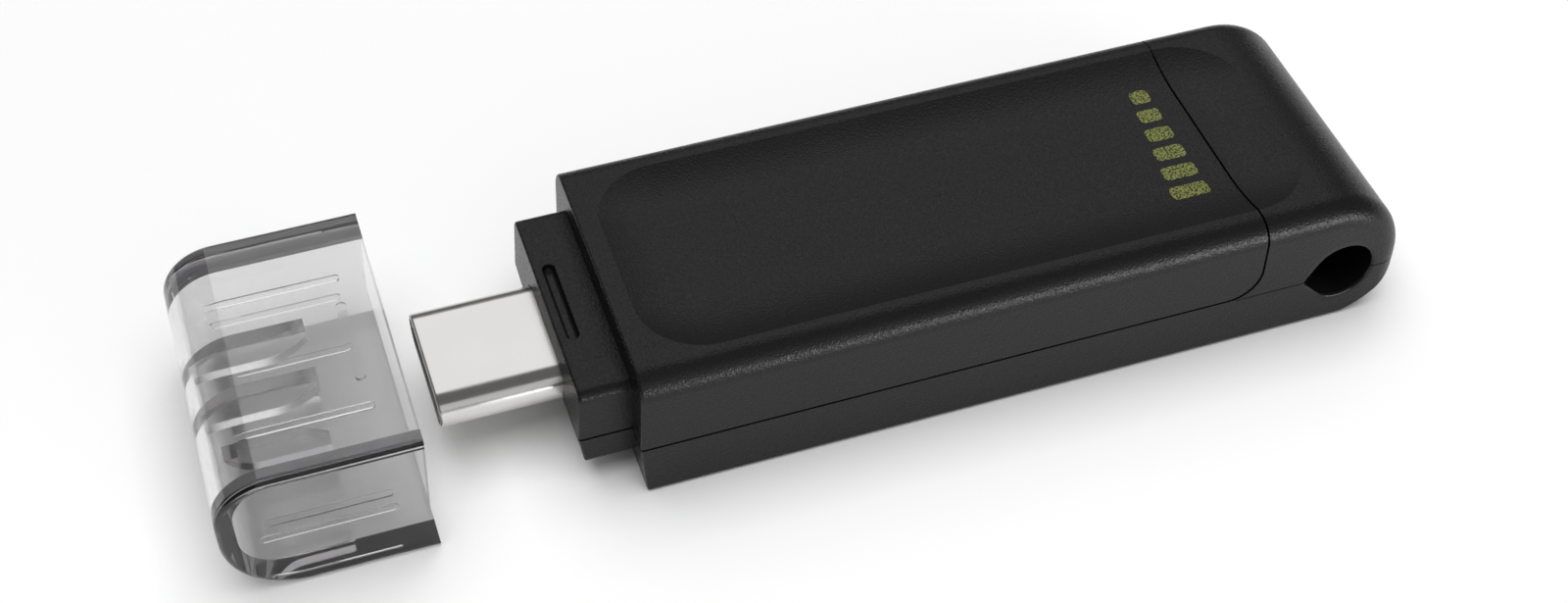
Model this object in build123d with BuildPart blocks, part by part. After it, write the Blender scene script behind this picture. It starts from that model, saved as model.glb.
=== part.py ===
"""Capped flash drive with a USB Type-C plug, as separate pieces.

Units are millimetres. +X runs from the cap, past the plug, to the lanyard
end. +Z is up. The origin is the middle of the underside of the whole object
at rest, with the cap pulled straight off the plug and lying in line with it.
"""

import os
from math import sqrt

from build123d import *

# ---------------------------------------------------------------- driving dimensions
width = 18.5  # across Y, drive and cap alike
thickness = 9.0  # underside to top
body_length = 47.6  # shoulder to lanyard end
cap_length = 11.4  # mouth to closed end, so the closed drive is 59 long

plug_width = 8.25  # USB Type-C plug shell
plug_height = 2.4
plug_reach = 10.2  # shoulder to plug tip
plug_axis_z = 4.3

cap_gap = 1.8  # clear space between plug tip and cap mouth at rest
cap_seat_gap = 0.06  # left between cap rim and shoulder when the cap is on

part_line_z = 3.7  # where the two covers meet on the long sides
part_line_back = 38.1  # where the line turns up, measured from the shoulder
part_line_corner = 2.0
part_gap = 0.14  # groove that shows between the covers
kink = 0.25  # shoulder and collar fronts stand forward at the parting line

collar_length = 3.1
collar_half_width = 7.4
collar_bottom_z = 1.7
collar_top_z = 7.3

rear_centre_z = 4.0  # height where the rear end reaches furthest
heel_radius = 5.13  # curve under the rear end, from the underside up to rear_centre_z
heel_centre_z = 5.12
heel_margin = 0.01  # sets the curve just outside the rear face where the two meet
top_edge_radius = 1.4
bottom_edge_radius = 0.3
front_edge_radius = 0.15
collar_top_radius = 0.6

scoop_depth = 0.57  # shallow dish in the top face
scoop_radius = 12.0  # radius of its sloping border
scoop_front = 1.5
scoop_back = 42.4
scoop_half_width = 7.45
scoop_corner = 4.0

slot_length = 6.1  # detent slot in the collar's top
slot_width = 0.7
slot_depth = 0.45
slot_floor_radius = 0.25
slot_rim_radius = 0.07
slot_from_shoulder = 1.95

hole_radius = 1.98  # round part of the lanyard hole
hole_from_shoulder = 43.58
hole_z = 3.8
hole_tip_radius = 0.2
hole_tip_reach = 2.2
hole_tip_drop = 0.25
hole_tip_depth = 2.0  # the point is a pocket in each side; only the round part goes through
hole_lip_radius = 0.2

root = 0.2  # how far a rib, pin or bead reaches into the wall it stands on
past = 1.0  # how far a cutting shape reaches past the face it cuts
fit_gap = 0.03  # between inner pieces that sit against each other

floor_z = 1.1  # inside faces of the covers
ceiling_z = 7.25
hollow_front = 1.3  # ends of the hollow, measured from the shoulder
hollow_back = 40.0
hollow_half_width = 8.05
hollow_corner = 1.0
collar_wall = 1.2
collar_room_half_width = 6.2
collar_room_height = 3.4
window_clear = 0.05  # round the plug where it leaves the collar

board_thickness = 0.8
board_half_width = 6.6
board_front = 3.6  # ends of the board, measured from the shoulder
board_back = 38.9
board_corner = 0.6
board_pin_from_shoulder = 35.6  # pins that pass through the board
board_pin_y = 4.6
pin_radius = 0.7
pin_clear = 0.05  # between a pin and its socket
pin_tip_gap = 0.6
socket_wall = 0.75
rib_from_shoulder = (9.5, 20.5, 31.0)
rib_inner_y = 6.15  # ribs that reach in over the board's edge
rib_thickness = 0.8
lip_middle = 18.5  # from the shoulder
lip_length = 32.0
lip_thickness = 0.6
lip_foot = 0.25  # wider foot that joins the lip to the cover's wall
lip_height = 0.75
lip_clear = 0.1

cap_wall = 1.45
cap_clear = 0.15  # between collar and cap, at the sides and below
cap_tip_clear = 0.2  # between the seated plug's tip and the cap's end
cap_end_top_radius = 3.2
cap_end_bottom_radius = 4.4
cavity_end_radius = 2.2
cap_edge_radius = 0.4
fin_y = 1.9
fin_thickness = 1.1
fin_from_mouth = 4.2
fin_lead = 2.6  # length of a fin's curved front
fin_clear = 0.1  # between a fin and the seated plug
guide_rib_y = 5.0
guide_rib_width = 0.45
guide_rib_from_mouth = 1.6
guide_rib_end = 1.2  # rounded end of the cavity, which the ribs stop short of
top_rib_height = 0.18
side_rib_height = 0.1
bead_height = 0.2
bead_clear = 0.05  # how much smaller than the slot the bead is, all round

shell_wall = 0.22
shell_front_radius = 0.17
shell_back = 0.4  # ends of the plug's pieces, measured from the shoulder
block_back = 3.4
latch_plate_back = 2.6
block_width = 8.0  # back of the plug's insulator
block_height = 3.0
tongue_width = 7.0
tongue_height = 1.0
tongue_depth = 6.2
contact_count = 12
contact_pitch = 0.5
contact_width = 0.25
contact_thickness = 0.12
contact_z = 0.6  # contact rows above and below the plug's axis
latch_groove_y = 3.62
latch_groove_width = 0.32
latch_thickness = 0.16
latch_arm_height = 0.5
spring_from_tip = 2.6
spring_length = 2.2
spring_width = 6.0
spring_thickness = 0.1
spring_seat_depth = 0.13
shield_thickness = 0.15
regulator_legs = [(-0.95, 1.1), (0, 1.1), (0.95, 1.1), (-0.95, -1.1), (0.95, -1.1)]

# ---------------------------------------------------------------- places worked out
cap_travel = plug_reach + cap_gap - cap_seat_gap
overall_length = body_length + plug_reach + cap_gap + cap_length
rear_x = overall_length / 2
shoulder_x = rear_x - body_length
collar_x = shoulder_x - collar_length
tip_x = shoulder_x - plug_reach
mouth_x = tip_x - cap_gap
cap_end_x = mouth_x - cap_length
half_width = width / 2

board_bottom_z = plug_axis_z - board_thickness / 2
board_top_z = plug_axis_z + board_thickness / 2
board_front_x = shoulder_x + board_front
board_back_x = shoulder_x + board_back
hollow_front_x = shoulder_x + hollow_front
hollow_back_x = shoulder_x + hollow_back

os.makedirs("parts", exist_ok=True)


def along_x(x):
    """Plane whose normal is +X, with local x along +Y and local y along +Z."""
    return Plane(origin=(x, 0, 0), x_dir=(0, 1, 0), z_dir=(1, 0, 0))


def across_y(y=0):
    """Plane whose normal is -Y, with local x along +X and local y along +Z."""
    return Plane.XZ.offset(-y)


def finish(builder, label):
    """Label a finished piece and write it out."""
    builder.part.label = label
    export_step(builder.part, f"parts/{label}.step")


# ---------------------------------------------------------------- shapes shared by pieces
rear_top_radius = thickness - rear_centre_z
heel_centre_x = rear_x - sqrt(heel_radius**2 - (heel_centre_z - rear_centre_z) ** 2) + heel_margin
heel_x = heel_centre_x + sqrt(heel_radius**2 - heel_centre_z**2)

with BuildPart() as outer_body:
    # side outline: kinked front, flat top and underside, round rear end
    with BuildSketch(across_y()):
        with BuildLine():
            Polyline(
                (rear_x, rear_centre_z),
                (rear_x, 0),
                (shoulder_x + kink, 0),
                (shoulder_x, part_line_z),
                (shoulder_x + kink, thickness),
                (rear_x - rear_top_radius, thickness),
            )
            RadiusArc(
                (rear_x - rear_top_radius, thickness),
                (rear_x, rear_centre_z),
                rear_top_radius,
            )
        make_face()
    extrude(amount=half_width, both=True)
    side_edges = outer_body.faces().filter_by(Axis.Y).edges()
    high_edges = side_edges.filter_by(lambda e: e.center().Z > 1)
    fillet(high_edges.filter_by(lambda e: e.center().X > shoulder_x + 1), top_edge_radius)
    underside = outer_body.faces().filter_by(Axis.Z).sort_by(Axis.Z)[0]
    fillet(underside.edges().filter_by(Axis.X), bottom_edge_radius)
    # heel: a curve cut under the rear end, where the side rounding runs out
    with BuildSketch(across_y()):
        with Locations(((heel_x + rear_x + past) / 2, (rear_centre_z - past) / 2)):
            Rectangle(rear_x + past - heel_x, rear_centre_z + past)
        with Locations((heel_centre_x, heel_centre_z)):
            Circle(heel_radius, mode=Mode.SUBTRACT)
    extrude(amount=half_width + past, both=True, mode=Mode.SUBTRACT)
    front_edges = outer_body.faces().sort_by(Axis.X)[:2].edges()
    fillet(front_edges.filter_by(lambda e: abs(e.center().Z - part_line_z) > 0.1), front_edge_radius)

with BuildPart() as collar_block:
    with BuildSketch(across_y()):
        with BuildLine():
            Polyline(
                (shoulder_x + past, collar_bottom_z),
                (collar_x + kink, collar_bottom_z),
                (collar_x, part_line_z),
                (collar_x + kink, collar_top_z),
                (shoulder_x + past, collar_top_z),
                close=True,
            )
        make_face()
    extrude(amount=collar_half_width, both=True)
    fillet(collar_block.edges().filter_by(Axis.X).group_by(Axis.Z)[-1], collar_top_radius)
    fillet(collar_block.edges().filter_by(Axis.X).group_by(Axis.Z)[0], bottom_edge_radius)
    front_edges = collar_block.faces().sort_by(Axis.X)[:2].edges()
    fillet(front_edges.filter_by(lambda e: abs(e.center().Z - part_line_z) > 0.1), front_edge_radius)

with BuildPart() as scoop:
    # rounded block whose filleted foot leaves the dish's sloping border
    slope_reach = scoop_radius - sqrt(scoop_radius**2 - (scoop_radius - scoop_depth) ** 2)
    with BuildSketch(Plane.XY.offset(thickness - scoop_depth)):
        with Locations((shoulder_x + (scoop_front + scoop_back) / 2, 0)):
            RectangleRounded(
                scoop_back - scoop_front + 2 * slope_reach,
                2 * (scoop_half_width + slope_reach),
                scoop_corner + slope_reach,
            )
    extrude(amount=scoop_radius + past)
    fillet(scoop.edges().group_by(Axis.Z)[0], scoop_radius)

with BuildPart() as slot:
    # detent slot for the cap's bead, with a rounded floor
    with BuildSketch(Plane.XY.offset(collar_top_z - slot_depth)):
        with Locations((shoulder_x - slot_from_shoulder, 0)):
            SlotOverall(slot_length, slot_width, rotation=90)
    extrude(amount=slot_depth + past)
    fillet(slot.edges().group_by(Axis.Z)[0], slot_floor_radius)


def upper_region(gap):
    """Everything above the parting line, moved up and forward by gap."""
    back_x = shoulder_x + part_line_back - gap
    with BuildPart(mode=Mode.PRIVATE) as region:
        with BuildSketch(across_y()):
            with BuildLine():
                FilletPolyline(
                    (collar_x - past, part_line_z + gap),
                    (back_x, part_line_z + gap),
                    (back_x, thickness + past),
                    (collar_x - past, thickness + past),
                    radius=[0, part_line_corner, 0, 0],
                    close=True,
                )
            make_face()
        extrude(amount=half_width + past, both=True)
    return region.part


with BuildPart() as hollow:
    # room for the board, shared by both covers, with the plug's window in front
    with BuildSketch(Plane.XY.offset(floor_z)):
        with Locations(((hollow_front_x + hollow_back_x) / 2, 0)):
            RectangleRounded(hollow_back - hollow_front, 2 * hollow_half_width, hollow_corner)
    extrude(amount=ceiling_z - floor_z)
    with BuildSketch(along_x(collar_x + collar_wall)):
        with Locations((0, plug_axis_z)):
            Rectangle(2 * collar_room_half_width, collar_room_height)
    extrude(amount=hollow_front_x - collar_x)
    with BuildSketch(along_x(collar_x - past)):
        with Locations((0, plug_axis_z)):
            RectangleRounded(
                plug_width + 2 * window_clear,
                plug_height + 2 * window_clear,
                plug_height / 2 + window_clear - 0.01,
            )
    extrude(amount=past + collar_wall + 0.5)

rib_depth = hollow_half_width - lip_clear - rib_inner_y
board_pins = [(shoulder_x + board_pin_from_shoulder, y) for y in (-board_pin_y, board_pin_y)]
rib_places = [
    (shoulder_x + distance, side * (rib_inner_y + rib_depth / 2))
    for distance in rib_from_shoulder
    for side in (-1, 1)
]

# ---------------------------------------------------------------- covers
with BuildPart() as top_cover:
    add(outer_body.part)
    add(collar_block.part)
    add(scoop.part, mode=Mode.SUBTRACT)
    add(upper_region(part_gap / 2), mode=Mode.INTERSECT)
    add(slot.part, mode=Mode.SUBTRACT)
    rim = top_cover.edges().filter_by_position(Axis.Z, collar_top_z - 0.001, collar_top_z + 0.001)
    rim = rim.filter_by(lambda e: abs(e.center().X - shoulder_x + slot_from_shoulder) < slot_width)
    fillet(rim, slot_rim_radius)
    add(hollow.part, mode=Mode.SUBTRACT)
    # ribs that hold the board down
    with BuildSketch(Plane.XY.offset(board_top_z + fit_gap)):
        with Locations(*rib_places):
            Rectangle(rib_thickness, rib_depth)
    extrude(amount=ceiling_z - board_top_z)
    # sockets for the lower cover's pins
    with BuildSketch(Plane.XY.offset(board_top_z + fit_gap)):
        with Locations(*board_pins):
            Circle(pin_radius + socket_wall)
    extrude(amount=ceiling_z - board_top_z)
    with BuildSketch(Plane.XY.offset(board_top_z)):
        with Locations(*board_pins):
            Circle(pin_radius + pin_clear)
    extrude(amount=ceiling_z - board_top_z - (pin_tip_gap - 0.2), mode=Mode.SUBTRACT)
finish(top_cover, "top_cover")

with BuildPart() as bottom_cover:
    add(outer_body.part)
    add(collar_block.part)
    add(scoop.part, mode=Mode.SUBTRACT)
    add(upper_region(-part_gap / 2), mode=Mode.SUBTRACT)
    add(hollow.part, mode=Mode.SUBTRACT)
    # ribs under the board, and pins through it
    with BuildSketch(Plane.XY.offset(floor_z - root)):
        with Locations(*rib_places):
            Rectangle(rib_thickness, rib_depth)
    extrude(amount=board_bottom_z - fit_gap - floor_z + root)
    with BuildSketch(Plane.XY.offset(floor_z - root)):
        with Locations(*board_pins):
            Circle(pin_radius)
    extrude(amount=ceiling_z - floor_z + root - pin_tip_gap - 0.2)
    # lip that stands up inside the upper cover's walls
    lip_y = hollow_half_width - lip_clear - lip_thickness / 2
    with BuildSketch(Plane.XY.offset(part_line_z - 1)):
        with Locations(*[(shoulder_x + lip_middle, y) for y in (-lip_y, lip_y)]):
            Rectangle(lip_length, lip_thickness)
    extrude(amount=1 + lip_height)
    foot_y = lip_y + lip_foot
    with BuildSketch(Plane.XY.offset(part_line_z - 1)):
        with Locations(*[(shoulder_x + lip_middle, y) for y in (-foot_y, foot_y)]):
            Rectangle(lip_length, lip_thickness)
    extrude(amount=1 - part_gap / 2)
    # lanyard hole: a round bore, and a pocket for the cord in each side that points to the plug
    hole_x = shoulder_x + hole_from_shoulder
    with BuildSketch(across_y()):
        with Locations((hole_x, hole_z)):
            Circle(hole_radius)
    extrude(amount=half_width + past, both=True, mode=Mode.SUBTRACT)
    for side in (-1, 1):
        with BuildSketch(across_y(side * (half_width - hole_tip_depth))):
            with Locations((hole_x, hole_z)):
                Circle(hole_radius)
            with Locations((hole_x - hole_tip_reach, hole_z - hole_tip_drop)):
                Circle(hole_tip_radius)
            make_hull()
        extrude(amount=-side * (hole_tip_depth + past), mode=Mode.SUBTRACT)
    for flank_y in (-half_width, half_width):
        flank_edges = bottom_cover.edges().filter_by_position(Axis.Y, flank_y - 0.001, flank_y + 0.001)
        near_hole = Vector(hole_x - hole_tip_reach / 2, flank_y, hole_z)
        fillet(flank_edges.filter_by(lambda e: (e.center() - near_hole).length < 3), hole_lip_radius)
finish(bottom_cover, "bottom_cover")

# ---------------------------------------------------------------- cap
cavity_half_width = collar_half_width + cap_clear
cavity_bottom_z = collar_bottom_z - cap_clear
cavity_top_z = thickness - cap_wall
cavity_end_x = mouth_x - plug_reach - cap_tip_clear
fin_front_x = mouth_x - fin_from_mouth
fin_flat_x = fin_front_x - fin_lead

with BuildPart() as cap:
    with BuildSketch(across_y()):
        with BuildLine():
            Polyline(
                (cap_end_x + cap_end_bottom_radius, 0),
                (mouth_x + kink, 0),
                (mouth_x, part_line_z),
                (mouth_x + kink, thickness),
                (cap_end_x + cap_end_top_radius, thickness),
            )
            RadiusArc(
                (cap_end_x + cap_end_top_radius, thickness),
                (cap_end_x, thickness - cap_end_top_radius),
                -cap_end_top_radius,
            )
            Line(
                (cap_end_x, thickness - cap_end_top_radius),
                (cap_end_x, cap_end_bottom_radius),
            )
            RadiusArc(
                (cap_end_x, cap_end_bottom_radius),
                (cap_end_x + cap_end_bottom_radius, 0),
                -cap_end_bottom_radius,
            )
        make_face()
    extrude(amount=half_width, both=True)
    cap_sides = cap.faces().filter_by(Axis.Y)
    fillet(cap_sides.edges().filter_by(lambda e: e.center().X < mouth_x - 1), cap_edge_radius)
    # room for the collar and the plug
    with BuildSketch(across_y()):
        with BuildLine():
            FilletPolyline(
                (mouth_x + past, cavity_bottom_z),
                (cavity_end_x, cavity_bottom_z),
                (cavity_end_x, cavity_top_z),
                (mouth_x + past, cavity_top_z),
                radius=[0, cavity_end_radius, cavity_end_radius, 0],
                close=True,
            )
        make_face()
    extrude(amount=cavity_half_width, both=True, mode=Mode.SUBTRACT)
    # fins that steady the plug from above and below
    for wall_z, plug_z in (
        (cavity_top_z + root, plug_axis_z + plug_height / 2 + fin_clear),
        (cavity_bottom_z - root, plug_axis_z - plug_height / 2 - fin_clear),
    ):
        front_z = wall_z + (plug_z - wall_z) * 0.45
        for y in (-fin_y, fin_y):
            with BuildSketch(across_y(y)):
                with BuildLine():
                    Polyline(
                        (fin_flat_x, plug_z),
                        (cavity_end_x - 0.3, plug_z),
                        (cavity_end_x + 0.6, wall_z),
                        (fin_front_x, wall_z),
                        (fin_front_x, front_z),
                    )
                    Spline(
                        (fin_front_x, front_z),
                        (fin_front_x - 1.0, wall_z + (plug_z - wall_z) * 0.8),
                        (fin_flat_x, plug_z),
                    )
                make_face()
            extrude(amount=fin_thickness / 2, both=True)
    # long guide ribs on the top, bottom and side walls
    rib_middle_x = (mouth_x - guide_rib_from_mouth + cavity_end_x + guide_rib_end) / 2
    rib_length = 2 * (mouth_x - guide_rib_from_mouth - rib_middle_x)
    with BuildSketch(Plane.XY.offset(cavity_top_z - top_rib_height)):
        with Locations((rib_middle_x, -guide_rib_y), (rib_middle_x, guide_rib_y)):
            SlotOverall(rib_length, guide_rib_width)
    extrude(amount=top_rib_height + root)
    with BuildSketch(Plane.XY.offset(cavity_bottom_z - root)):
        with Locations((rib_middle_x, -guide_rib_y), (rib_middle_x, guide_rib_y)):
            SlotOverall(rib_length, guide_rib_width)
    extrude(amount=side_rib_height + root)
    for side in (-1, 1):
        with BuildSketch(across_y(side * (cavity_half_width + root))):
            with Locations((rib_middle_x, part_line_z - 0.3)):
                SlotOverall(rib_length, guide_rib_width)
        extrude(amount=side * (side_rib_height + root))
    # bead that stands over the collar's slot when the cap is on, just clear of the collar's top
    with BuildSketch(Plane.XY.offset(cavity_top_z - bead_height)):
        with Locations((mouth_x - slot_from_shoulder, 0)):
            SlotOverall(slot_length - 2 * bead_clear, slot_width - 2 * bead_clear, rotation=90)
    extrude(amount=bead_height + root)
finish(cap, "cap")

# ---------------------------------------------------------------- USB Type-C plug
shell_back_x = shoulder_x + shell_back
block_back_x = shoulder_x + block_back
latch_plate_back_x = shoulder_x + latch_plate_back
spring_middle_x = tip_x + spring_from_tip
insulator_front_x = tip_x + 0.25
insulator_width = plug_width - 2 * shell_wall - 2 * fit_gap
insulator_height = plug_height - 2 * shell_wall - 2 * fit_gap

with BuildPart() as plug_shell:
    with BuildSketch(along_x(tip_x)):
        with Locations((0, plug_axis_z)):
            RectangleRounded(plug_width, plug_height, plug_height / 2 - 0.01)
    extrude(amount=shell_back_x - tip_x)
    fillet(plug_shell.edges().group_by(Axis.X)[0], shell_front_radius)
    with BuildSketch(along_x(tip_x - past)):
        with Locations((0, plug_axis_z)):
            RectangleRounded(
                plug_width - 2 * shell_wall,
                plug_height - 2 * shell_wall,
                plug_height / 2 - shell_wall - 0.01,
            )
    extrude(amount=shell_back_x - tip_x + 2 * past, mode=Mode.SUBTRACT)
finish(plug_shell, "plug_shell")

contact_places = [contact_pitch * (i - (contact_count - 1) / 2) for i in range(contact_count)]

with BuildPart() as plug_insulator:
    with BuildSketch(along_x(insulator_front_x)):
        with Locations((0, plug_axis_z)):
            RectangleRounded(insulator_width, insulator_height, insulator_height / 2 - 0.01)
    extrude(amount=shell_back_x + 0.1 - insulator_front_x)
    with BuildSketch(along_x(shell_back_x + 0.1)):
        with Locations((0, plug_axis_z)):
            Rectangle(block_width, block_height)
    extrude(amount=block_back_x - shell_back_x - 0.1)
    # slot for a socket's tongue
    with BuildSketch(along_x(insulator_front_x)):
        with Locations((0, plug_axis_z)):
            Rectangle(tongue_width, tongue_height)
    extrude(amount=tongue_depth, mode=Mode.SUBTRACT)
    # grooves for the contacts
    with BuildSketch(along_x(insulator_front_x + 0.4)):
        with Locations(*[(y, plug_axis_z + z) for y in contact_places for z in (-0.55, 0.55)]):
            Rectangle(contact_width + 0.06, 0.5)
    extrude(amount=block_back_x - insulator_front_x, mode=Mode.SUBTRACT)
    # room for the latch: a slit in the middle and a groove on each side
    with BuildSketch(along_x(insulator_front_x + 0.8)):
        with Locations(*[(y, plug_axis_z) for y in (-latch_groove_y, latch_groove_y)]):
            Rectangle(latch_groove_width, latch_arm_height + 0.16)
    extrude(amount=latch_plate_back_x - insulator_front_x - 0.8 + 0.1, mode=Mode.SUBTRACT)
    with BuildSketch(along_x(insulator_front_x + tongue_depth - 0.1)):
        with Locations((0, plug_axis_z)):
            Rectangle(2 * latch_groove_y, latch_thickness + 0.08)
    extrude(amount=latch_plate_back_x - insulator_front_x - tongue_depth + 0.2, mode=Mode.SUBTRACT)
    # shallow seats for the ground springs
    with BuildSketch(Plane.XY.offset(plug_axis_z - insulator_height / 2 - 0.1)):
        with Locations((spring_middle_x, 0)):
            Rectangle(spring_length + 0.1, spring_width + 0.1)
    extrude(amount=spring_seat_depth + 0.1, mode=Mode.SUBTRACT)
    with BuildSketch(Plane.XY.offset(plug_axis_z + insulator_height / 2 - spring_seat_depth)):
        with Locations((spring_middle_x, 0)):
            Rectangle(spring_length + 0.1, spring_width + 0.1)
    extrude(amount=spring_seat_depth + 0.1, mode=Mode.SUBTRACT)
finish(plug_insulator, "plug_insulator")


def make_contacts(label, side):
    """One row of contacts; side is +1 above the plug's mid plane, -1 below it."""
    front_x = insulator_front_x + 0.7
    points = [
        (front_x, contact_z + 0.02),
        (front_x + 0.7, 0.38),
        (front_x + 1.4, 0.38),
        (front_x + 2.4, contact_z),
        (block_back_x + 0.15, contact_z),
        (block_back_x + 0.45, board_thickness / 2 + fit_gap),
        (block_back_x + 1.6, board_thickness / 2 + fit_gap),
    ]
    under = [(x, plug_axis_z + side * z) for x, z in points]
    over = [(x, plug_axis_z + side * (z + contact_thickness)) for x, z in reversed(points)]
    with BuildPart() as contacts:
        for y in contact_places:
            with BuildSketch(across_y(y)):
                with BuildLine():
                    Polyline(*under, *over, close=True)
                make_face()
            extrude(amount=contact_width / 2, both=True)
    finish(contacts, label)


make_contacts("plug_contacts_upper", 1)
make_contacts("plug_contacts_lower", -1)

with BuildPart() as plug_latch:
    # plate between the two contact rows, with a hooked arm on each side
    plate_front_x = insulator_front_x + tongue_depth + 0.05
    with BuildSketch(Plane.XY.offset(plug_axis_z - latch_thickness / 2)):
        with Locations(((plate_front_x + latch_plate_back_x) / 2, 0)):
            Rectangle(latch_plate_back_x - plate_front_x, 2 * latch_groove_y - 0.1)
    extrude(amount=latch_thickness)
    for side in (-1, 1):
        arm_x = insulator_front_x + 0.95
        with BuildSketch(Plane.XY.offset(plug_axis_z - latch_arm_height / 2)):
            with BuildLine():
                Polyline(
                    (arm_x, side * (latch_groove_y - 0.05)),
                    (arm_x + 0.5, side * (latch_groove_y - 0.42)),
                    (arm_x + 1.1, side * (latch_groove_y - 0.07)),
                    (plate_front_x + 0.8, side * (latch_groove_y - 0.07)),
                    (plate_front_x + 0.8, side * (latch_groove_y + 0.08)),
                    (arm_x, side * (latch_groove_y + 0.08)),
                    close=True,
                )
            make_face()
        extrude(amount=latch_arm_height)
finish(plug_latch, "plug_latch")


def make_ground_spring(label, low_z):
    """Thin slotted plate between the insulator and the shell."""
    with BuildPart() as spring:
        with BuildSketch(Plane.XY.offset(low_z)):
            with Locations((spring_middle_x, 0)):
                Rectangle(spring_length, spring_width)
            with Locations((spring_middle_x - 0.25, 0)):
                with GridLocations(0, 1.5, 1, 4):
                    Rectangle(spring_length - 0.9, 0.35, mode=Mode.SUBTRACT)
        extrude(amount=spring_thickness)
    finish(spring, label)


spring_offset = insulator_height / 2 - spring_seat_depth + 0.02
make_ground_spring("plug_ground_spring_upper", plug_axis_z + spring_offset)
make_ground_spring("plug_ground_spring_lower", plug_axis_z - spring_offset - spring_thickness)

with BuildPart() as plug_shield:
    # stamped box round the insulator's back, with legs through the board
    with BuildSketch(along_x(shell_back_x + 0.15)):
        with Locations((0, plug_axis_z)):
            shield_inside = (block_width + 2 * fit_gap, block_height + 2 * fit_gap)
            Rectangle(*[size + 2 * shield_thickness for size in shield_inside])
            Rectangle(*shield_inside, mode=Mode.SUBTRACT)
    extrude(amount=block_back_x - shell_back_x - 0.2)
    arm_y = (shield_inside[0] + shield_thickness) / 2
    for side in (-1, 1):
        with BuildSketch(across_y(side * arm_y)):
            with BuildLine():
                Polyline(
                    (block_back_x - 0.2, board_top_z + 0.1),
                    (block_back_x + 1.9, board_top_z + 0.1),
                    (block_back_x + 1.9, board_bottom_z - 0.5),
                    (block_back_x + 2.7, board_bottom_z - 0.5),
                    (block_back_x + 2.7, board_top_z + 0.8),
                    (block_back_x - 0.2, board_top_z + 0.8),
                    close=True,
                )
            make_face()
        extrude(amount=shield_thickness / 2, both=True)
finish(plug_shield, "plug_shield")

# ---------------------------------------------------------------- circuit board
with BuildPart() as circuit_board:
    with BuildSketch(Plane.XY.offset(board_bottom_z)):
        with Locations(((board_front_x + board_back_x) / 2, 0)):
            RectangleRounded(board_back - board_front, 2 * board_half_width, board_corner)
        with Locations(*board_pins):
            Circle(pin_radius + 2 * pin_clear, mode=Mode.SUBTRACT)
        with Locations(*[(block_back_x + 2.3, y) for y in (-arm_y, arm_y)]):
            Rectangle(1.0, 0.35, mode=Mode.SUBTRACT)
    extrude(amount=board_thickness)
finish(circuit_board, "circuit_board")


def board_x(distance):
    """X of a component, from its distance behind the shoulder."""
    return shoulder_x + distance


def make_chips(label, size, places, side, edge=0.0):
    """Equal rectangular packages on the board; side is +1 on top, -1 below."""
    length, breadth, height = size
    low_z = board_top_z + fit_gap if side > 0 else board_bottom_z - fit_gap - height
    with BuildPart() as chips:
        with BuildSketch(Plane.XY.offset(low_z)):
            with Locations(*[(board_x(distance), y) for distance, y in places]):
                Rectangle(length, breadth)
        extrude(amount=height)
        if edge:
            far_edges = chips.edges().group_by(Axis.Z)[-1 if side > 0 else 0]
            chamfer(far_edges, edge)
    finish(chips, label)


make_chips("flash_memory", (18.0, 12.0, 1.0), [(21.0, 0)], 1, 0.1)
make_chips("controller_chip", (7.0, 7.0, 0.85), [(20.0, 0)], -1, 0.08)
make_chips("crystal", (3.2, 2.5, 0.7), [(27.0, 2.4)], -1, 0.12)
make_chips("power_inductor", (2.5, 2.0, 1.0), [(12.4, -2.6)], -1, 0.1)
make_chips("esd_arrays", (2.5, 1.0, 0.5), [(8.6, -2.0), (8.6, 2.0)], 1, 0.05)
make_chips("coupling_capacitors", (0.6, 0.3, 0.3), [(10.6, y) for y in (-2.6, -1.4, 1.4, 2.6)], 1)
make_chips("bulk_capacitors", (1.6, 0.8, 0.8), [(12.4, 0.2), (15.2, 5.2), (25.0, -5.0)], -1)
bypass_places = [(distance, y) for distance in (17.2, 20.0, 22.8) for y in (-4.9, 4.9)]
make_chips("bypass_capacitors", (1.0, 0.5, 0.5), bypass_places + [(34.6, 1.5), (34.6, -1.5)], -1)
resistor_places = [(25.6, y) for y in (-2.6, -1.3, 0.0)] + [(15.0, y) for y in (-1.5, 0.0, 1.5)]
make_chips("resistors", (1.0, 0.5, 0.35), resistor_places, -1)

with BuildPart() as voltage_regulator:
    # five-legged package
    regulator_x, regulator_y = board_x(12.4), 3.4
    body_bottom_z = board_bottom_z - 1.2
    with BuildSketch(Plane.XY.offset(body_bottom_z)):
        with Locations((regulator_x, regulator_y)):
            Rectangle(2.9, 1.6)
    extrude(amount=1.05)
    chamfer(voltage_regulator.edges().group_by(Axis.Z)[0], 0.1)
    with BuildSketch(Plane.XY.offset(body_bottom_z + 0.5)):
        with Locations(*[(regulator_x + dx, regulator_y + dy) for dx, dy in regulator_legs]):
            Rectangle(0.4, 0.62)
    extrude(amount=0.15)
    with BuildSketch(Plane.XY.offset(body_bottom_z + 0.5)):
        with Locations(*[(regulator_x + dx, regulator_y + dy * 1.18) for dx, dy in regulator_legs]):
            Rectangle(0.4, 0.3)
    extrude(amount=0.67)
finish(voltage_regulator, "voltage_regulator")
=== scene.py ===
import math

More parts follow.
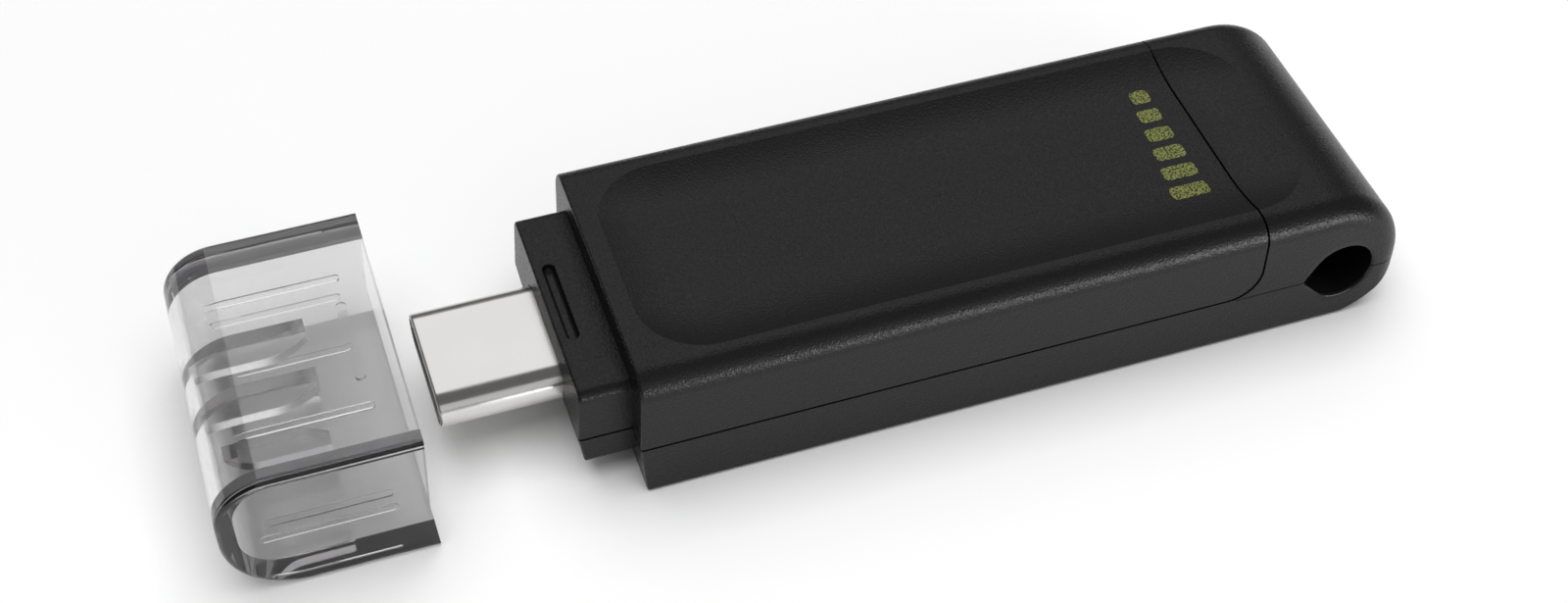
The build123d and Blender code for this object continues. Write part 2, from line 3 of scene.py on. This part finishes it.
import bmesh
import bpy
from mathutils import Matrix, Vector


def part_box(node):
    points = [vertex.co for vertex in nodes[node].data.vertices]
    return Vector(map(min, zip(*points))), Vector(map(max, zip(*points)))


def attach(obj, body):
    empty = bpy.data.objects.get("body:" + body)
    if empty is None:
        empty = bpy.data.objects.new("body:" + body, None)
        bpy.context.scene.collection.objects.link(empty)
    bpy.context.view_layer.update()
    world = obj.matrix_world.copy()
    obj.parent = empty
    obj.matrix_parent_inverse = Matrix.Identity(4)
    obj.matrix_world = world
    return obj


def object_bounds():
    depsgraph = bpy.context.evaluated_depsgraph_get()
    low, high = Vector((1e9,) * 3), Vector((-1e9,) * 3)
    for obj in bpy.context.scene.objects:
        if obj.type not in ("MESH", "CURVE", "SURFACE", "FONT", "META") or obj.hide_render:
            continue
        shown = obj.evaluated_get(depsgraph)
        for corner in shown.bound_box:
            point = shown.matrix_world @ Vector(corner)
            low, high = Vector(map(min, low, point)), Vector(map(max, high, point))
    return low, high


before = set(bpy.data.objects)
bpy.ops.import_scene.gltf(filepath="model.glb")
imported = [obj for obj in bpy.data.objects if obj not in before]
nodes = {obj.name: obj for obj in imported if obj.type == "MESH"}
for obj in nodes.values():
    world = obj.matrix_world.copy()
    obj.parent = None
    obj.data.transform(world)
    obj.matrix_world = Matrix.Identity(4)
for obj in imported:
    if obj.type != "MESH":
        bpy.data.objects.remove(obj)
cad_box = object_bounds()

MM = 0.001
scene = bpy.context.scene


# ---------------------------------------------------------------- node helpers
def new_material(name):
    """An empty node material with its Principled shader."""
    material = bpy.data.materials.new(name)
    material.use_nodes = True
    tree = material.node_tree
    return material, tree, tree.nodes["Principled BSDF"]


def position(tree, stretch=(1, 1, 1)):
    """Object coordinates in millimetres, divided by stretch."""
    coordinates = tree.nodes.new("ShaderNodeTexCoord")
    mapping = tree.nodes.new("ShaderNodeMapping")
    mapping.inputs["Scale"].default_value = [1 / (MM * s) for s in stretch]
    tree.links.new(coordinates.outputs["Object"], mapping.inputs["Vector"])
    return mapping.outputs["Vector"]


def axes(tree, vector):
    """The X, Y and Z outputs of a vector."""
    split = tree.nodes.new("ShaderNodeSeparateXYZ")
    tree.links.new(vector, split.inputs["Vector"])
    return split.outputs["X"], split.outputs["Y"], split.outputs["Z"]


def noise(tree, vector, size, detail=2.0):
    """Noise with features about size wide, as a value from 0 to 1."""
    texture = tree.nodes.new("ShaderNodeTexNoise")
    texture.inputs["Scale"].default_value = 1 / size
    texture.inputs["Detail"].default_value = detail
    tree.links.new(vector, texture.inputs["Vector"])
    return texture.outputs["Fac"]


def cells(tree, vector, size):
    """Distance to the middle of the nearest of many random cells."""
    texture = tree.nodes.new("ShaderNodeTexVoronoi")
    texture.inputs["Scale"].default_value = 1 / size
    tree.links.new(vector, texture.inputs["Vector"])
    return texture.outputs["Distance"]


def calculate(tree, operation, *values):
    """A Math node; each value is a number or another node's output."""
    node = tree.nodes.new("ShaderNodeMath")
    node.operation = operation
    for socket, value in zip(node.inputs, values):
        if isinstance(value, (int, float)):
            socket.default_value = value
        else:
            tree.links.new(value, socket)
    return node.outputs[0]


def rescale(tree, value, low, high, new_low=0.0, new_high=1.0):
    """Carry low..high over to new_low..new_high, smoothly and clamped."""
    node = tree.nodes.new("ShaderNodeMapRange")
    node.interpolation_type = "SMOOTHSTEP"
    for socket, number in zip(("From Min", "From Max", "To Min", "To Max"), (low, high, new_low, new_high)):
        node.inputs[socket].default_value = number
    tree.links.new(value, node.inputs["Value"])
    return node.outputs["Result"]


def blend_colors(tree, factor, first, second):
    """First colour where factor is 0, second where it is 1."""
    node = tree.nodes.new("ShaderNodeMix")
    node.data_type = "RGBA"
    tree.links.new(factor, node.inputs["Factor"])
    for socket, color in zip((node.inputs["A"], node.inputs["B"]), (first, second)):
        if isinstance(color, tuple):
            socket.default_value = (*color, 1)
        else:
            tree.links.new(color, socket)
    return node.outputs["Result"]


def emboss(tree, shader, height, depth):
    """Raise the surface by height times depth in millimetres."""
    bump = tree.nodes.new("ShaderNodeBump")
    bump.inputs["Distance"].default_value = depth * MM
    tree.links.new(height, bump.inputs["Height"])
    tree.links.new(bump.outputs["Normal"], shader.inputs["Normal"])


def dress(material, *node_names):
    """Give CAD nodes their finished material."""
    for name in node_names:
        mesh = nodes[name].data
        mesh.materials.clear()
        mesh.materials.append(material)


# ---------------------------------------------------------------- materials seen from outside
# sizes and places in millimetres
REAR_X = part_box("bottom_cover")[1][0] / MM
HOLE_FROM_REAR = 4.02  # lanyard hole's axis
HOLE_Z = 3.8
LIP_REACH = (2.15, 2.45)  # from the hole's axis, where the smooth lip starts and ends turning into grain
SEAM_Z = 3.6  # fine mould line that carries the parting line on to the rear end
SEAM_LENGTH = 11.0
SEAM_HALF_WIDTH = 0.06

FIN_Y = 1.9  # where the cap's fins stand, on either side
FIN_HALF_THICKNESS = 0.56
CAVITY_MIDDLE_Z = 4.55
CAVITY_HALF_HEIGHT = 2.9
CAP_TINT = (0.60, 0.59, 0.60)
CAP_TINT_DENSITY = 220.0  # per metre

MIDDLE_OF_NOISE = (0.3, 0.7)  # nearly all of a noise's values lie between these


def case_plastic():
    """Black moulded plastic with a fine spark-eroded grain, smoother in and round the lanyard hole."""
    material, tree, shader = new_material("case_plastic")
    place = position(tree)
    along, height = axes(tree, place)[::2]
    hole_x = calculate(tree, "SUBTRACT", along, REAR_X - HOLE_FROM_REAR)
    hole_z = calculate(tree, "SUBTRACT", height, HOLE_Z)
    squares = [calculate(tree, "MULTIPLY", offset, offset) for offset in (hole_x, hole_z)]
    grained = rescale(tree, calculate(tree, "SQRT", calculate(tree, "ADD", *squares)), *LIP_REACH)
    seam = calculate(
        tree, "MULTIPLY",
        calculate(tree, "COMPARE", height, SEAM_Z, SEAM_HALF_WIDTH),
        calculate(tree, "GREATER_THAN", along, REAR_X - SEAM_LENGTH),
    )
    cloud = noise(tree, place, size=6.0, detail=3)
    grain = noise(tree, place, size=0.15, detail=3)
    pits = cells(tree, place, size=0.12)
    tint = blend_colors(tree, cloud, (0.0050, 0.0050, 0.0052), (0.0072, 0.0072, 0.0075))
    tree.links.new(tint, shader.inputs["Base Color"])
    dull = rescale(tree, grain, *MIDDLE_OF_NOISE, new_low=0.26, new_high=0.38)
    polish = rescale(tree, grained, 0, 1, new_low=0.4, new_high=1.0)
    tree.links.new(calculate(tree, "MULTIPLY", dull, polish), shader.inputs["Roughness"])
    gloss = rescale(tree, seam, 0, 1, new_low=0.26, new_high=0.06)
    tree.links.new(gloss, shader.inputs["Specular IOR Level"])
    bumps = calculate(tree, "ADD", grain, calculate(tree, "MULTIPLY", pits, 0.5))
    relief = calculate(tree, "MULTIPLY", bumps, polish)
    emboss(tree, shader, calculate(tree, "SUBTRACT", relief, seam), depth=0.024)
    return material


def cap_plastic():
    """Clear plastic tinted smoky grey all through, polished apart from its satin fins."""
    material, tree, shader = new_material("cap_plastic")
    shader.inputs["Base Color"].default_value = (1, 1, 1, 1)
    shader.inputs["Transmission Weight"].default_value = 1.0
    shader.inputs["IOR"].default_value = 1.57
    place = position(tree)
    across, height = axes(tree, place)[1:]
    on_fin = calculate(
        tree, "MULTIPLY",
        calculate(tree, "COMPARE", calculate(tree, "ABSOLUTE", across), FIN_Y, FIN_HALF_THICKNESS),
        calculate(tree, "COMPARE", height, CAVITY_MIDDLE_Z, CAVITY_HALF_HEIGHT),
    )
    polish = rescale(tree, noise(tree, place, size=1.5), *MIDDLE_OF_NOISE, new_low=0.012, new_high=0.035)
    satin = calculate(tree, "MULTIPLY", on_fin, 0.2)
    tree.links.new(calculate(tree, "ADD", polish, satin), shader.inputs["Roughness"])
    emboss(tree, shader, noise(tree, place, size=3.0, detail=1), depth=0.004)
    smoke = tree.nodes.new("ShaderNodeVolumeAbsorption")
    smoke.inputs["Color"].default_value = (*CAP_TINT, 1)
    smoke.inputs["Density"].default_value = CAP_TINT_DENSITY
    tree.links.new(smoke.outputs["Volume"], tree.nodes["Material Output"].inputs["Volume"])
    return material


def plated_metal(name, color, roughness, streak):
    """Plated sheet metal: soft mottling, and drawing streaks that are streak times as long along X."""
    material, tree, shader = new_material(name)
    shader.inputs["Metallic"].default_value = 1.0
    mottle = noise(tree, position(tree), size=2.5, detail=2)
    lines = noise(tree, position(tree, (streak, 1, 1)), size=0.07, detail=2)
    darker = tuple(0.96 * c for c in color)
    tree.links.new(blend_colors(tree, mottle, darker, color), shader.inputs["Base Color"])
    dull = rescale(tree, mottle, *MIDDLE_OF_NOISE, new_low=0.92 * roughness, new_high=1.08 * roughness)
    tree.links.new(dull, shader.inputs["Roughness"])
    emboss(tree, shader, lines, depth=0.0015)
    return material


# ---------------------------------------------------------------- materials of the inner pieces
def moulded_black(name, tone):
    """Black moulded housing or chip epoxy with a fine filler grain."""
    material, tree, shader = new_material(name)
    place = position(tree)
    grain = noise(tree, place, size=0.09, detail=3)
    lighter = tuple(1.5 * t for t in tone)
    tree.links.new(blend_colors(tree, grain, tone, lighter), shader.inputs["Base Color"])
    dull = rescale(tree, grain, *MIDDLE_OF_NOISE, new_low=0.42, new_high=0.62)
    tree.links.new(dull, shader.inputs["Roughness"])
    emboss(tree, shader, grain, depth=0.006)
    return material


def solder_mask():
    """Green board: copper lines under the mask on top and below, glass cloth at the cut edges."""
    material, tree, shader = new_material("board")
    place = position(tree)
    geometry = tree.nodes.new("ShaderNodeNewGeometry")
    facing = calculate(tree, "ABSOLUTE", axes(tree, geometry.outputs["Normal"])[2])
    lines = tree.nodes.new("ShaderNodeTexBrick")
    lines.inputs["Scale"].default_value = 1.0
    lines.inputs["Brick Width"].default_value = 2.6
    lines.inputs["Row Height"].default_value = 0.42
    lines.inputs["Mortar Size"].default_value = 0.06
    lines.inputs["Color1"].default_value = (0.010, 0.075, 0.030, 1)
    lines.inputs["Color2"].default_value = (0.013, 0.088, 0.036, 1)
    lines.inputs["Mortar"].default_value = (0.006, 0.048, 0.020, 1)
    tree.links.new(place, lines.inputs["Vector"])
    cloth = noise(tree, position(tree, (1, 1, 0.12)), size=0.5, detail=2)
    edge = blend_colors(tree, cloth, (0.36, 0.33, 0.17), (0.55, 0.52, 0.33))
    is_flat = rescale(tree, facing, 0.4, 0.6)
    tree.links.new(blend_colors(tree, is_flat, edge, lines.outputs["Color"]), shader.inputs["Base Color"])
    dull = rescale(tree, is_flat, 0, 1, new_low=0.75, new_high=0.28)
    tree.links.new(dull, shader.inputs["Roughness"])
    emboss(tree, shader, lines.outputs["Fac"], depth=-0.02)
    return material


def with_end_caps(name, body, roughness, centres, half_body):
    """Chip component: tinned ends, and a body of its own colour between them along X."""
    material, tree, shader = new_material(name)
    place = position(tree)
    along = axes(tree, place)[0]
    inside = 0.0
    for centre in centres:
        near = calculate(tree, "COMPARE", along, centre, half_body)
        inside = calculate(tree, "MAXIMUM", near, inside)
    mottle = noise(tree, place, size=0.2, detail=3)
    darker = tuple(0.8 * c for c in body)
    colored = blend_colors(tree, mottle, darker, body)
    tree.links.new(blend_colors(tree, inside, (0.72, 0.71, 0.68), colored), shader.inputs["Base Color"])
    tree.links.new(calculate(tree, "SUBTRACT", 1.0, inside), shader.inputs["Metallic"])
    dull = rescale(tree, inside, 0, 1, new_low=0.3, new_high=roughness)
    tree.links.new(dull, shader.inputs["Roughness"])
    emboss(tree, shader, mottle, depth=0.006)
    return material


def columns(node_name, length):
    """Middles along X, in millimetres, of the columns in which a node's solids of one length stand."""
    slack = 0.01
    middles = []
    for x in sorted(v.co.x / MM for v in nodes[node_name].data.vertices):
        if not middles or x > middles[-1] + length / 2 + slack:
            middles.append(x + length / 2)
    return middles


def dress_chip_components(node_name, length, end_length, body, roughness):
    """Dress a node of two-ended components that lie along X."""
    material = with_end_caps(
        node_name + "_finish", body, roughness, columns(node_name, length), length / 2 - end_length
    )
    dress(material, node_name)


dress(case_plastic(), "top_cover", "bottom_cover")
dress(cap_plastic(), "cap")
dress(plated_metal("plug_nickel", (0.64, 0.63, 0.615), roughness=0.2, streak=12), "plug_shell")
dress(moulded_black("insulator", (0.010, 0.010, 0.010)), "plug_insulator")
dress(
    plated_metal("gold_plate", (0.90, 0.66, 0.28), roughness=0.22, streak=8),
    "plug_contacts_upper", "plug_contacts_lower",
)
dress(
    plated_metal("spring_steel", (0.62, 0.61, 0.59), roughness=0.30, streak=10),
    "plug_latch", "plug_ground_spring_upper", "plug_ground_spring_lower", "plug_shield", "crystal",
)
dress(solder_mask(), "circuit_board")
dress(
    moulded_black("chip_epoxy", (0.018, 0.018, 0.019)),
    "flash_memory", "controller_chip", "voltage_regulator", "esd_arrays",
)

# length and length of each tinned end in millimetres, then the body's colour and roughness
CHIP_COMPONENTS = {
    "coupling_capacitors": (0.6, 0.15, (0.32, 0.22, 0.13), 0.45),
    "bulk_capacitors": (1.6, 0.35, (0.27, 0.18, 0.11), 0.45),
    "bypass_capacitors": (1.0, 0.25, (0.34, 0.24, 0.15), 0.45),
    "resistors": (1.0, 0.22, (0.016, 0.016, 0.018), 0.35),
    "power_inductor": (2.5, 0.45, (0.060, 0.058, 0.060), 0.6),
}
for node_name, measures in CHIP_COMPONENTS.items():
    dress_chip_components(node_name, *measures)


# ---------------------------------------------------------------- capacity marks printed on the dish
def mark_outline(length, breadth, radius, steps=8):
    """Rounded rectangle, counted out anticlockwise from its middle."""
    outline = []
    for turn, (sx, sy) in enumerate(((1, 1), (-1, 1), (-1, -1), (1, -1))):
        for step in range(steps + 1):
            angle = math.pi / 2 * (turn + step / steps)
            outline.append((
                sx * (length / 2 - radius) + radius * math.cos(angle),
                sy * (breadth / 2 - radius) + radius * math.sin(angle),
            ))
    return outline


def print_ink():
    """Olive yellow ink, broken up by the plastic's grain under it."""
    material, tree, shader = new_material("print_ink")
    place = position(tree)
    speckle = noise(tree, place, size=0.13, detail=3)
    cover = rescale(tree, speckle, 0.42, 0.54)
    patch = noise(tree, place, size=0.5, detail=2)
    ink = blend_colors(tree, patch, (0.13, 0.15, 0.035), (0.24, 0.26, 0.075))
    tree.links.new(blend_colors(tree, cover, (0.02, 0.022, 0.012), ink), shader.inputs["Base Color"])
    shader.inputs["Roughness"].default_value = 0.5
    shader.inputs["Specular IOR Level"].default_value = 0.25
    emboss(tree, shader, speckle, depth=0.012)
    return material


DISH_FLOOR = 8.43  # height of the dish's flat middle
DISH_FLAT = 3.79  # where the dish starts to rise, on either side of the middle
DISH_RADIUS = 12.0

INK_THICKNESS = 0.012
MARK_SECTION = ((0, -0.3), (0, 0.7), (0.4, 1.0))  # each ring's inset and height, in thicknesses of ink
MARKS_FROM_GROOVE = 1.5


def dish_height(y):
    """Height of the dish at y, all in millimetres."""
    rise = max(abs(y) - DISH_FLAT, 0)
    return DISH_FLOOR + DISH_RADIUS - math.sqrt(DISH_RADIUS**2 - rise**2)


def capacity_marks():
    """A plain level gauge of rounded bars, in place of a printed capacity."""
    bars = 6
    pitch, breadth, corner = 1.68, 1.1, 0.3
    longest, step = 2.4, 0.24
    foot_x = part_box("top_cover")[1][0] / MM - MARKS_FROM_GROOVE
    mesh = bmesh.new()
    for bar in range(bars):
        length = longest - step * bar
        middle_x = foot_x - length / 2
        middle_y = (bar - (bars - 1) / 2) * pitch
        rings = []
        for inset, rise in MARK_SECTION:
            shrink = 1 - inset * 2 * INK_THICKNESS / breadth
            ring = []
            for x, y in mark_outline(length, breadth, corner):
                place_y = middle_y + y * shrink
                height = dish_height(place_y) + rise * INK_THICKNESS
                ring.append(mesh.verts.new(Vector((middle_x + x * shrink, place_y, height)) * MM))
            rings.append(ring)
        for low_ring, high_ring in zip(rings, rings[1:]):
            for i, vertex in enumerate(low_ring):
                mesh.faces.new((low_ring[i - 1], vertex, high_ring[i], high_ring[i - 1]))
        fill_across(mesh, rings[-1])
        fill_across(mesh, rings[0], flip=True)
    data = bpy.data.meshes.new("capacity_marks")
    mesh.to_mesh(data)
    mesh.free()
    piece = bpy.data.objects.new("capacity_marks", data)
    scene.collection.objects.link(piece)
    data.materials.append(print_ink())
    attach(piece, "drive")


def fill_across(mesh, ring, flip=False):
    """Close a ring that is symmetric about its middle line with strips that follow the dish's curve."""
    half = len(ring) // 2
    for i in range(half - 1):
        strip = (ring[i], ring[i + 1], ring[-2 - i], ring[-1 - i])
        mesh.faces.new(strip if not flip else tuple(reversed(strip)))


capacity_marks()

# ---------------------------------------------------------------- stage, light and camera
low, high = Vector(cad_box[0]), Vector(cad_box[1])
middle = (low + high) / 2
FLOOR_REACH = 2.0  # metres from the middle to each side
FLOOR_GAP = 0.02 * MM
WORLD_LIGHT = 0.16
BACKDROP = 0.95


def make_floor():
    """A plain pale sheet right under the object."""
    mesh = bpy.data.meshes.new("floor")
    corners = [(x * FLOOR_REACH, y * FLOOR_REACH, 0) for x, y in ((-1, -1), (1, -1), (1, 1), (-1, 1))]
    mesh.from_pydata(corners, [], [(0, 1, 2, 3)])
    floor = bpy.data.objects.new("floor", mesh)
    floor.location.z = low.z - FLOOR_GAP
    scene.collection.objects.link(floor)
    material, _, shader = new_material("floor_paper")
    shader.inputs["Base Color"].default_value = (0.95, 0.95, 0.95, 1)
    shader.inputs["Roughness"].default_value = 0.95
    shader.inputs["Specular IOR Level"].default_value = 0.1
    floor.data.materials.append(material)


def add_softbox(name, at, size, radiance, glossy=True):
    """A rectangular lamp at a place in metres from the object's middle, turned towards it."""
    lamp = bpy.data.lights.new(name, "AREA")
    lamp.shape = "RECTANGLE"
    lamp.size, lamp.size_y = size
    lamp.energy = radiance * math.pi * size[0] * size[1]
    holder = bpy.data.objects.new(name, lamp)
    holder.location = middle + Vector(at)
    holder.rotation_euler = (middle - holder.location).to_track_quat("-Z", "Y").to_euler()
    holder.visible_glossy = glossy
    scene.collection.objects.link(holder)


def make_world():
    """Dim even light from all round, and plain white where the camera sees past the floor."""
    world = bpy.data.worlds.new("studio")
    world.use_nodes = True
    tree = world.node_tree
    dim = tree.nodes["Background"]
    dim.inputs["Color"].default_value = (1, 1, 1, 1)
    dim.inputs["Strength"].default_value = WORLD_LIGHT
    seen = tree.nodes.new("ShaderNodeBackground")
    seen.inputs["Color"].default_value = (1, 1, 1, 1)
    seen.inputs["Strength"].default_value = BACKDROP
    mix = tree.nodes.new("ShaderNodeMixShader")
    path = tree.nodes.new("ShaderNodeLightPath")
    tree.links.new(path.outputs["Is Camera Ray"], mix.inputs["Fac"])
    tree.links.new(dim.outputs["Background"], mix.inputs[1])
    tree.links.new(seen.outputs["Background"], mix.inputs[2])
    tree.links.new(mix.outputs["Shader"], tree.nodes["World Output"].inputs["Surface"])
    scene.world = world


make_floor()
make_world()
add_softbox("softbox_back", at=(0.12, 0.42, 0.50), size=(0.6, 0.3), radiance=1.1)
add_softbox("softbox_front", at=(0.26, -0.49, 0.045), size=(0.40, 0.06), radiance=24.0)
add_softbox("fill_front", at=(0.10, -0.52, 0.37), size=(0.6, 0.4), radiance=0.55)
add_softbox("ceiling", at=(0, 0, 0.8), size=(0.9, 0.9), radiance=2.6, glossy=False)

CAMERA_AZIMUTH = math.radians(-18.9)
CAMERA_ELEVATION = math.radians(46.3)
CAMERA_DISTANCE = 139 * MM
CAMERA_LENS = 53.9
AIM_FROM_MIDDLE = (-0.0006, 0, -0.0018)  # metres

camera_data = bpy.data.cameras.new("camera")
camera_data.sensor_width = 36
camera_data.lens = CAMERA_LENS
camera_data.clip_start = 0.005
camera = bpy.data.objects.new("camera", camera_data)
away = Vector((
    math.sin(CAMERA_AZIMUTH) * math.cos(CAMERA_ELEVATION),
    -math.cos(CAMERA_AZIMUTH) * math.cos(CAMERA_ELEVATION),
    math.sin(CAMERA_ELEVATION),
))
camera.location = middle + away * CAMERA_DISTANCE
aim = middle + Vector(AIM_FROM_MIDDLE)
camera.rotation_euler = (aim - camera.location).to_track_quat("-Z", "Y").to_euler()
scene.collection.objects.link(camera)
scene.camera = camera
scene.view_settings.view_transform = "Standard"
